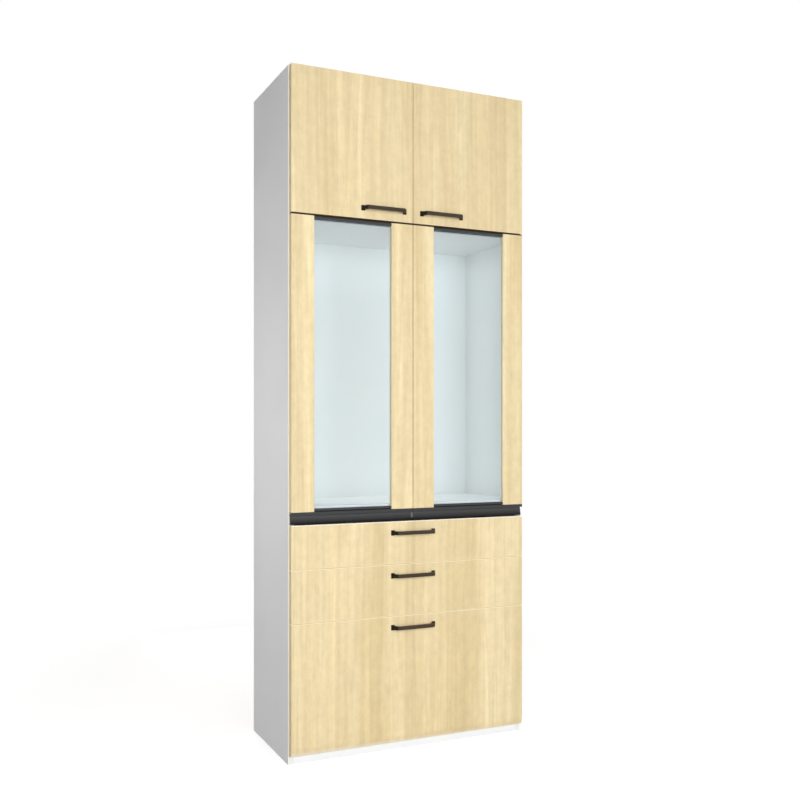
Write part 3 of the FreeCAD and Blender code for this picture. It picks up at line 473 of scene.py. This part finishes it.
def zinc_steel(name):
    """Zinc plated sheet steel with the soft patches that plating leaves."""
    material, tree = new_material(name)
    here = stretched(tree, place_on_piece(tree), (160, 160, 160))
    patches = add_node(tree, "TexVoronoi", {"Vector": here, "Scale": 1.0}, feature="SMOOTH_F1")
    shade = add_node(tree, "SeparateColor", {"Color": patches.outputs["Color"]}).outputs["Green"]
    touch = handled(tree, 1500.0)
    tone = mix_colours(tree, shade, ZINC_DARK, ZINC_PALE)
    tone = wear_and_highlight_edges(tree, tone, 0.6 * MM, 0.6, ZINC_WORN_LIT_EDGE)
    rough = maths(tree, "ADD", between(tree, shade, 0.28, 0.40),
                  maths(tree, "MULTIPLY", touch["Smudge"], 0.08))
    close_material(tree, {"Base Color": tone, "Roughness": rough, "Metallic": 1.0},
                   (touch["Skin"], 0.15, 0.05 * MM))
    return material


def moulded_plastic(name, colour):
    """Moulded plastic with a spark-eroded skin."""
    material, tree = new_material(name)
    touch = handled(tree, 2600.0)
    tone = scaled(tree, colour[:3], between(tree, touch["Smudge"], 0.94, 1.03))
    tone = wear_and_highlight_edges(tree, tone, 0.6 * MM, 0.4, PLASTIC_WORN_LIT_EDGE)
    rough = between(tree, touch["Smudge"], 0.42, 0.58)
    close_material(tree, {"Base Color": tone, "Roughness": rough}, (touch["Skin"], 0.3, 0.08 * MM))
    return material


def clear_glass(name):
    """Clear float glass. Light for other surfaces passes straight through it."""
    material, tree = new_material(name)
    touch = handled(tree, 30.0)
    tint = mix_colours(tree, touch["Smudge"], GLASS_DEEP, GLASS_PALE)
    rough = between(tree, touch["Smudge"], 0.0, 0.03)
    shader, output = close_material(
        tree, {"Base Color": tint, "Roughness": rough, "IOR": 1.5, "Transmission Weight": 1.0},
        (touch["Skin"], 0.02, 0.02 * MM))
    through = add_node(tree, "BsdfTransparent", {"Color": GLASS_PASSED})
    path = add_node(tree, "LightPath").outputs
    carried = maths(tree, "MAXIMUM", path["Is Shadow Ray"], path["Is Diffuse Ray"])
    both = add_node(tree, "MixShader", {0: carried, 1: shader.outputs["BSDF"],
                                        2: through.outputs["BSDF"]})
    tree.links.new(both.outputs["Shader"], output.inputs["Surface"])
    return material


# Where a finish changes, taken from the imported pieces
back_panel_middle = sum(corner.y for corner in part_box("base_back_panel")) / 2
wall_plane = packed_box[1].y - 0.2 * MM
case_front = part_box("glass_case_top_board")[0].y
cover_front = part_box("left_cover_panel")[0].y
handle_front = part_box("top_drawer_handle")[0].y
# Depth of the painted front edges of the boards
painted_edge_depth = 0.5 * MM
# Painted highlight lines along the tops of the drawer fronts, in the gaps between them
drawer_top_highlights = {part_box("deep_drawer_front")[1].z: PAINTED_JOINT_HIGHLIGHT,
                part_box("middle_drawer_front")[1].z: PAINTED_JOINT_HIGHLIGHT,
                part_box("top_drawer_front")[1].z: PAINTED_EDGE_HIGHLIGHT}
# Both sides of a pane, a little into the stiles
pane_sides = (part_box("glass_right_inner_stile")[1].x - 1 * MM,
              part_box("glass_right_outer_stile")[0].x + 1 * MM)
# A painted shadow line along the foot of each door rail, painted shade on the cap on top, and the
# painted shade of the recess, darkest at its foot
rail_foot, cap_top = (corner.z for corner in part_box("glass_left_rails"))
rail_shadows = [(rail_foot + 2.8 * MM, rail_foot + 4.2 * MM, RAIL_FOOT_PAINTED_SHADOW),
                (cap_top - 2.2 * MM, cap_top - 3.0 * MM, RAIL_CAP_PAINTED_SHADE)]
recess_foot, recess_top = (corner.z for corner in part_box("finger_recess_rail"))
recess_shadows = [(recess_foot + 2 * MM, recess_top - 8 * MM, RECESS_FOOT_SHADOW)]

# Each film's shade factor makes it a little darker or paler as a whole: painted shade that evens out
# how brightly the lamps light the upper doors, the glass doors and the drawers
maple_above = maple_film("maple_upper_doors", sheet=(0.13, 0.4, 0.9), shade=0.965,
                         painted_foot_tone=UPPER_DOOR_FOOT_SHADE)
maple_middle = maple_film("maple_glass_doors", sheet=(2.74, 0.0, 3.3), shade=0.99,
                          painted_foot_tone=PAINTED_EDGE_HIGHLIGHT, highlight_beside_glass=pane_sides)
maple_below = maple_film("maple_drawer_fronts", sheet=(5.17, 1.0, 6.1), shade=1.0,
                         painted_foot_tone=PAINTED_EDGE_HIGHLIGHT, bands=drawer_top_highlights)
cover_white = white_board("white_cover", COVER_WHITE,
                          painted_front_edge=(cover_front + painted_edge_depth, COVER_EDGE_HIGHLIGHT))
case_white = white_board("white_case", INSIDE_WHITE, cut_from=wall_plane)
# Painted shade on the top board's front edge
case_top_white = white_board("white_case_top", INSIDE_WHITE,
                             painted_front_edge=(case_front + painted_edge_depth, CASE_TOP_EDGE_SHADE))
# Painted highlight on the bottom board's front edge
case_foot_white = white_board("white_case_foot", INSIDE_WHITE,
                              painted_front_edge=(case_front + painted_edge_depth, CASE_FOOT_EDGE_HIGHLIGHT))
plinth_white = white_board("white_plinth", PLINTH_WHITE)
drawer_grey = white_board("drawer_board", DRAWER_GREY)
back_white = hardboard("back_panel", INSIDE_WHITE, back_panel_middle)
bare_board = chip_board("bare_board")
black_metal = black_aluminium("black_aluminium", TRIM_DARK, TRIM_PALE, gloss=0.4, edge_wear_and_highlight=0.5)
rail_black = black_aluminium("black_rails", RAIL_DARK, RAIL_PALE, gloss=0.25, edge_wear_and_highlight=0.4,
                             shadows=rail_shadows)
recess_black = black_aluminium("black_recess", RECESS_DARK, RECESS_PALE, gloss=0.2, edge_wear_and_highlight=0.0,
                               shadows=recess_shadows)
handle_black = handle_coat("handle_coat", handle_front + 6 * MM, handle_front + 1 * MM)
steel = zinc_steel("zinc_steel")
grey_plastic = moulded_plastic("grey_plastic", SUPPORT_GREY)
catch_plastic = moulded_plastic("dark_grey_plastic", CATCH_GREY)
glass = clear_glass("clear_glass")


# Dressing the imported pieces
FRONT_ROUNDING = 0.9 * MM
PLINTH_ROUNDING = 0.5 * MM
BOARD_ROUNDING = 0.4 * MM
TRIM_ROUNDING = 0.3 * MM
STEEL_ROUNDING = 0.25 * MM
SHARP_ANGLE = 35.0
FLAT_ANGLE = 0.5


def soften(piece, width):
    """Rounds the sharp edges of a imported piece; its own mesh stays as it is."""
    weld = piece.modifiers.new("weld", "WELD")
    weld.merge_threshold = 0.005 * MM
    flats = piece.modifiers.new("whole_flats", "DECIMATE")
    flats.decimate_type = "DISSOLVE"
    flats.angle_limit = math.radians(FLAT_ANGLE)
    bevel = piece.modifiers.new("rounding", "BEVEL")
    bevel.width = width
    bevel.segments = 2
    bevel.limit_method = "ANGLE"
    bevel.angle_limit = math.radians(SHARP_ANGLE)
    bevel.use_clamp_overlap = True
    bevel.harden_normals = True


def dress(names, material, rounding=None):
    for name in names:
        piece = nodes[name]
        piece.data.materials.clear()
        piece.data.materials.append(material)
        if rounding is not None:
            soften(piece, rounding)


def names_ending(*endings):
    return [name for name in sorted(nodes) if name.endswith(endings)]


dress(names_ending("upper_left_door", "upper_right_door"), maple_above, FRONT_ROUNDING)
dress(names_ending("_stile"), maple_middle, FRONT_ROUNDING)
dress(names_ending("_drawer_front"), maple_below, FRONT_ROUNDING)
dress(names_ending("_cover_panel"), cover_white, BOARD_ROUNDING)
dress(names_ending("_side_boards", "_bottom_board", "_front_rail", "upper_shelf", "_top_board"),
      case_white, BOARD_ROUNDING)
dress(["plinth_board"], plinth_white, PLINTH_ROUNDING)
dress(names_ending("_back_panel"), back_white)
dress(names_ending("_drawer_sides", "_drawer_back", "_drawer_bottom"), drawer_grey, BOARD_ROUNDING)
dress(names_ending("_finger_pull"), black_metal, TRIM_ROUNDING)
dress(names_ending("left_rails", "right_rails"), rail_black, TRIM_ROUNDING)
dress(["finger_recess_rail"], recess_black, TRIM_ROUNDING)
dress(["wall_fixing_rails"], bare_board)
dress(names_ending("_handle"), handle_black, FRONT_ROUNDING)
dress(names_ending("_pane"), glass)
dress(names_ending("_hinge_cups", "_drawer_slides"), steel, STEEL_ROUNDING)
dress(["hinge_arms", "drawer_channels", "case_bolts"], steel, STEEL_ROUNDING)
dress(["shelf_supports"], grey_plastic, BOARD_ROUNDING)
dress(["door_catch"], catch_plastic, BOARD_ROUNDING)
nodes["glass_case_top_board"].data.materials[0] = case_top_white
nodes["glass_case_bottom_board"].data.materials[0] = case_foot_white


# Small fittings
# The hinges on each door come first. The flanges and their screws are measured from the middle of
# a cup, the screws of a plate from the front of the case and the middle of the hinge.
HINGE_LEVELS = {"upper": 2, "glass": 3}
CUP_RADIUS = 17.4 * MM
SLOT_HALF = 6 * MM
FLANGE_NEAR, FLANGE_FAR, FLANGE_REACH = 22 * MM, 2 * MM, 31 * MM
FLANGE_THICKNESS = 1 * MM
FLANGE_CORNER = 4 * MM
FLANGE_SCREW = (11 * MM, 24 * MM)
PLATE_THICKNESS = 3 * MM
PLATE_SCREW_BACK = 32 * MM
PLATE_SCREW_RISE = 15 * MM
SCREW_RADIUS = 3.4 * MM
FLANGE_SCREW_RADIUS = 0.8 * SCREW_RADIUS
NAIL_RADIUS = 2.2 * MM
NAIL_STEP = 0.1

# The rings of a domed head, each with its width and rise, and the cross in it, in head radii
HEAD_RINGS = ((1.0, 0.0), (1.0, 0.12), (0.8, 0.26), (0.45, 0.34))
CROSS_LONG, CROSS_SHORT = 0.42, 0.1
CROSS_RISE, CROSS_THICKNESS = 0.33, 0.02


def add_prism(shape, outline, direction, slot=0):
    """A flat outline of corners drawn out along a direction."""
    near = [shape.verts.new(corner) for corner in outline]
    far = [shape.verts.new(corner + direction) for corner in outline]
    faces = [shape.faces.new(near), shape.faces.new(far[::-1])]
    for index, corner in enumerate(near):
        before = index - 1
        faces.append(shape.faces.new((near[before], far[before], far[index], corner)))
    for face in faces:
        face.material_index = slot


def rounded_plate(low, high, radius, y):
    """The corners of an upright plate seen from the front, with rounded corners."""
    outline = []
    steps = 5
    middles = ((high[0] - radius, high[1] - radius), (low[0] + radius, high[1] - radius),
               (low[0] + radius, low[1] + radius), (high[0] - radius, low[1] + radius))
    for corner, (x, z) in enumerate(middles):
        for step in range(steps + 1):
            angle = (corner + step / steps) * math.pi / 2
            outline.append(Vector((x + radius * math.cos(angle), y, z + radius * math.sin(angle))))
    return outline


def add_head(shape, place, facing, radius, cross=True, steps=20):
    """A domed screw or nail head on a surface, with a dark cross in it where it is a screw."""
    facing = Vector(facing)
    turn = facing.to_track_quat("Z", "Y")
    rings = []
    for share, rise in HEAD_RINGS:
        ring = []
        for step in range(steps):
            angle = 2 * math.pi * step / steps
            corner = Vector((math.cos(angle) * share, math.sin(angle) * share, rise)) * radius
            ring.append(shape.verts.new(place + turn @ corner))
        rings.append(ring)
    for low, high in zip(rings, rings[1:]):
        for step in range(steps):
            shape.faces.new((low[step - 1], low[step], high[step], high[step - 1]))
    shape.faces.new(rings[-1])
    if cross:
        for length, width in ((CROSS_LONG, CROSS_SHORT), (CROSS_SHORT, CROSS_LONG)):
            corners = [Vector((x * length, y * width, CROSS_RISE)) * radius
                       for x, y in ((-1, -1), (1, -1), (1, 1), (-1, 1))]
            outline = [place + turn @ corner for corner in corners]
            add_prism(shape, outline, facing * radius * CROSS_THICKNESS, 1)


def finish_piece(name, shape, materials, body):
    bmesh.ops.recalc_face_normals(shape, faces=shape.faces)
    mesh = bpy.data.meshes.new(name)
    shape.to_mesh(mesh)
    shape.free()
    for material in materials:
        mesh.materials.append(material)
    piece = bpy.data.objects.new(name, mesh)
    bpy.context.scene.collection.objects.link(piece)
    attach(piece, body)


def hinge_places(level, word):
    """Side, middle of a cup across the width, back face of the door and height of each hinge.
    The level is upper or glass, and the word left or right."""
    low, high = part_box("%s_%s_hinge_cups" % (level, word))
    side = SIDES[word]
    middle = (high.x if side < 0 else low.x) + side * CUP_RADIUS
    first, last = low.z + CUP_RADIUS, high.z - CUP_RADIUS
    count = HINGE_LEVELS[level]
    heights = [first + (last - first) * step / (count - 1) for step in range(count)]
    return side, middle, high.y, heights


def make_cup_flanges(level, word):
    """The two halves of each cup's flange on the back of a door, with a screw in each."""
    side, middle, back, heights = hinge_places(level, word)
    shape = bmesh.new()
    across = sorted((middle - side * FLANGE_NEAR, middle + side * FLANGE_FAR))
    inset, lift = FLANGE_SCREW
    for height in heights:
        for way in (-1, 1):
            rise = sorted((height + way * SLOT_HALF, height + way * FLANGE_REACH))
            outline = rounded_plate((across[0], rise[0]), (across[1], rise[1]), FLANGE_CORNER, back)
            add_prism(shape, outline, Vector((0, FLANGE_THICKNESS, 0)))
            place = Vector((middle - side * inset, back + FLANGE_THICKNESS, height + way * lift))
            add_head(shape, place, (0, 1, 0), FLANGE_SCREW_RADIUS)
    name = "%s_%s_cup_flanges" % (level, word)
    finish_piece(name, shape, [steel, handle_black], "door_%s_%s" % (level, word))


def make_plate_screws():
    """Two screws in the plate of each hinge, on the side boards."""
    shape = bmesh.new()
    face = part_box("glass_case_top_board")[1].x - PLATE_THICKNESS
    for level in HINGE_LEVELS:
        for word in SIDES:
            side, _, _, heights = hinge_places(level, word)
            for height in heights:
                for way in (-1, 1):
                    place = Vector((side * face, case_front + PLATE_SCREW_BACK,
                                    height + way * PLATE_SCREW_RISE))
                    add_head(shape, place, (-side, 0, 0), SCREW_RADIUS)
    finish_piece("hinge_plate_screws", shape, [steel, handle_black], "cabinet")


def make_back_nails():
    """Nails through the back panels into the level boards, where no wall rail covers them."""
    shape = bmesh.new()
    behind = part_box("glass_case_back_panel")[1].y
    for board in ("base_bottom_board", "glass_case_bottom_board", "glass_case_top_board",
                  "upper_case_bottom_board"):
        low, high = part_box(board)
        count = int((high.x - low.x) / NAIL_STEP)
        for step in range(count):
            across = (step - (count - 1) / 2) * NAIL_STEP
            place = Vector((across, behind, (low.z + high.z) / 2))
            add_head(shape, place, (0, 1, 0), NAIL_RADIUS, cross=False, steps=12)
    finish_piece("back_panel_nails", shape, [steel], "cabinet")


for level in HINGE_LEVELS:
    for word in SIDES:
        make_cup_flanges(level, word)
make_plate_screws()
make_back_nails()


# Light, floor and camera
def make_world():
    """White behind everything that is seen directly or mirrored, and plain soft light for the rest."""
    world = bpy.data.worlds.new("studio")
    bpy.context.scene.world = world
    world.use_nodes = True
    tree = world.node_tree
    tree.nodes.clear()
    path = add_node(tree, "LightPath").outputs
    seen = maths(tree, "MAXIMUM", path["Is Camera Ray"], path["Is Glossy Ray"])
    seen = maths(tree, "MAXIMUM", seen, path["Is Transmission Ray"])
    strength = between(tree, seen, AMBIENT, SHOWN_WHITE)
    background = add_node(tree, "Background", {"Color": WHITE, "Strength": strength})
    output = add_node(tree, "OutputWorld")
    tree.links.new(background.outputs["Background"], output.inputs["Surface"])


def make_floor():
    """A pale floor, lifted to white where it is seen by as much as its own light falls short of it,
    so that the soft shadow of the cupboard stays on it. Mirrored, it is as white as the room."""
    mesh = bpy.data.meshes.new("floor")
    corners = [(x * FLOOR_REACH, y * FLOOR_REACH, 0)
               for x, y in ((-1, -1), (1, -1), (1, 1), (-1, 1))]
    mesh.from_pydata(corners, [], [(0, 1, 2, 3)])
    floor = bpy.data.objects.new("floor", mesh)
    bpy.context.scene.collection.objects.link(floor)
    material, tree = new_material("pale_floor")
    path = add_node(tree, "LightPath").outputs
    here = place_on_piece(tree)
    away = add_node(tree, "VectorMath", {0: here}, operation="LENGTH").outputs["Value"]
    unlit = SHOWN_WHITE - FLOOR_PALE * AMBIENT
    lift = spread(tree, away, *LAMPLIT_REACH, unlit - LAMPLIT_FLOOR, unlit)
    lift = maths(tree, "MULTIPLY", path["Is Camera Ray"], lift)
    shader, output = close_material(
        tree, {"Base Color": (FLOOR_PALE, FLOOR_PALE, FLOOR_PALE, 1.0), "Roughness": 0.9,
               "Specular IOR Level": 0.0, "Emission Color": WHITE, "Emission Strength": lift})
    white = add_node(tree, "Emission", {"Color": WHITE, "Strength": SHOWN_WHITE})
    mirrored = maths(tree, "MAXIMUM", path["Is Glossy Ray"], path["Is Transmission Ray"])
    both = add_node(tree, "MixShader", {0: mirrored, 1: shader.outputs["BSDF"],
                                        2: white.outputs["Emission"]})
    tree.links.new(both.outputs["Shader"], output.inputs["Surface"])
    mesh.materials.append(material)


def make_lamp(name, place, aim, size, watts, spread_angle=180):
    """A soft lamp that lights the cupboard and isn't seen itself, mirrored or through glass."""
    lamp = bpy.data.lights.new(name, "AREA")
    lamp.shape = "RECTANGLE"
    lamp.size, lamp.size_y = size
    lamp.energy = watts
    lamp.spread = math.radians(spread_angle)
    piece = bpy.data.objects.new(name, lamp)
    piece.location = place
    direction = Vector(aim) - Vector(place)
    piece.rotation_euler = direction.to_track_quat("-Z", "Y").to_euler()
    piece.visible_camera = False
    piece.visible_glossy = False
    piece.visible_transmission = False
    bpy.context.scene.collection.objects.link(piece)


def make_camera():
    camera = bpy.data.cameras.new("camera")
    camera.sensor_width = SENSOR_WIDTH
    camera.lens = LENS
    camera.shift_y = VIEW_SHIFT
    piece = bpy.data.objects.new("camera", camera)
    piece.location = CAMERA_PLACE
    piece.rotation_euler = [math.radians(angle) for angle in CAMERA_TURN]
    bpy.context.scene.collection.objects.link(piece)
    bpy.context.scene.camera = piece


make_world()
make_floor()
case_middle = (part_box("glass_case_bottom_board")[1].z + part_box("glass_case_top_board")[0].z) / 2
in_case = (0.0, 0.03, case_middle)
make_lamp("key", place=(0.0, -4.9, 1.5), aim=(0.0, 0.0, 1.3), size=(5.2, 2.6), watts=198.0)
make_lamp("left_fill", place=(-3.2, -3.8, 1.5), aim=(-0.45, 0.0, 1.3), size=(1.6, 2.6), watts=36.0)
make_lamp("near_side_fill", place=(-2.0, 0.1, 1.18), aim=(-0.45, 0.1, 1.18), size=(0.6, 0.6),
          watts=2.7, spread_angle=110)
make_lamp("far_side_fill", place=(2.2, 0.1, 1.25), aim=(0.45, 0.1, 1.25), size=(0.8, 2.2),
          watts=7.0, spread_angle=110)
make_lamp("top_fill", place=(0.0, 0.03, 3.2), aim=(0.0, 0.03, 2.35), size=(1.0, 0.6),
          watts=1.9, spread_angle=70)
make_lamp("back_fill", place=(0.0, 2.2, 1.25), aim=(0.0, 0.2, 1.25), size=(1.0, 2.4),
          watts=14.0, spread_angle=70)
make_lamp("case_light_front", place=(0.0, -0.16, case_middle), aim=(0.0, 0.2, case_middle),
          size=(0.8, 0.9), watts=0.27)
make_lamp("case_light_down", place=(0.0, 0.03, 1.82), aim=in_case, size=(0.84, 0.3),
          watts=0.67, spread_angle=60)
make_lamp("case_light_up", place=(0.0, 0.03, 0.88), aim=in_case, size=(0.84, 0.3),
          watts=0.08, spread_angle=70)
make_lamp("case_light_top", place=(0.0, -0.13, 1.66), aim=(0.0, 0.23, 1.80), size=(0.8, 0.05),
          watts=0.045, spread_angle=60)
make_camera()
bpy.context.scene.view_settings.view_transform = "Standard"
